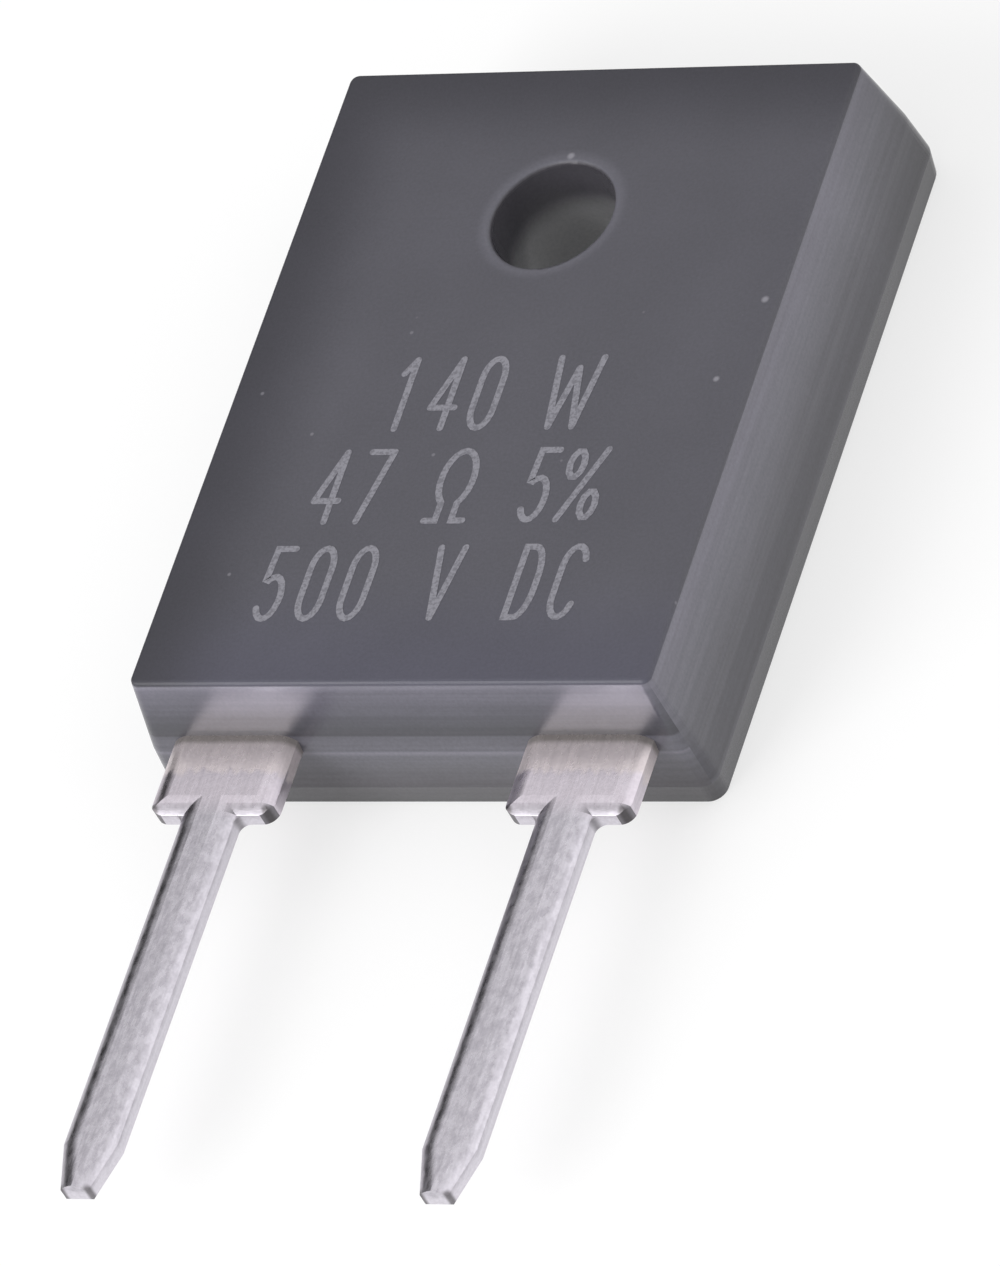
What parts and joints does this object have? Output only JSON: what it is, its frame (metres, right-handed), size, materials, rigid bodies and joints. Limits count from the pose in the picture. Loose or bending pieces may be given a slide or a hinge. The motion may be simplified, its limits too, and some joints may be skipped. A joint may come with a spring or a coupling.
{
  "type": "thick film power resistor",
  "caption": "Thick film power resistor: a flat drafted moulded case with a screw hole, an exposed ceramic back and flat shouldered leads with tapered tips.",
  "frame": {"origin": "on the mounting face, on the axis of the screw hole", "axes": "+Z out through the hole to the marked face, +Y to the end that has the hole, +X to the right when the marked face is seen with the leads below"},
  "size_m": [0.016, 0.035, 0.0046],
  "materials": {
    "moulding_compound": "fine matt moulded face with smoother walls",
    "alumina": "fine ground",
    "resistor_ink": "fired thick film, matt",
    "conductor_ink": "fired silver thick film, satin",
    "overglaze_glass": "thin glossy glaze",
    "solder_metal": "satin solder",
    "tinned_copper": "bright tin plate"
  },
  "bodies": {
    "root": {"case": "moulding_compound", "ceramic_plate": "alumina", "resistive_film": "resistor_ink", "conductor_left": "conductor_ink", "conductor_right": "conductor_ink", "overglaze": "overglaze_glass", "solder_left": "solder_metal", "solder_right": "solder_metal", "lead_left": "tinned_copper", "lead_right": "tinned_copper"}
  },
  "joints": []
}
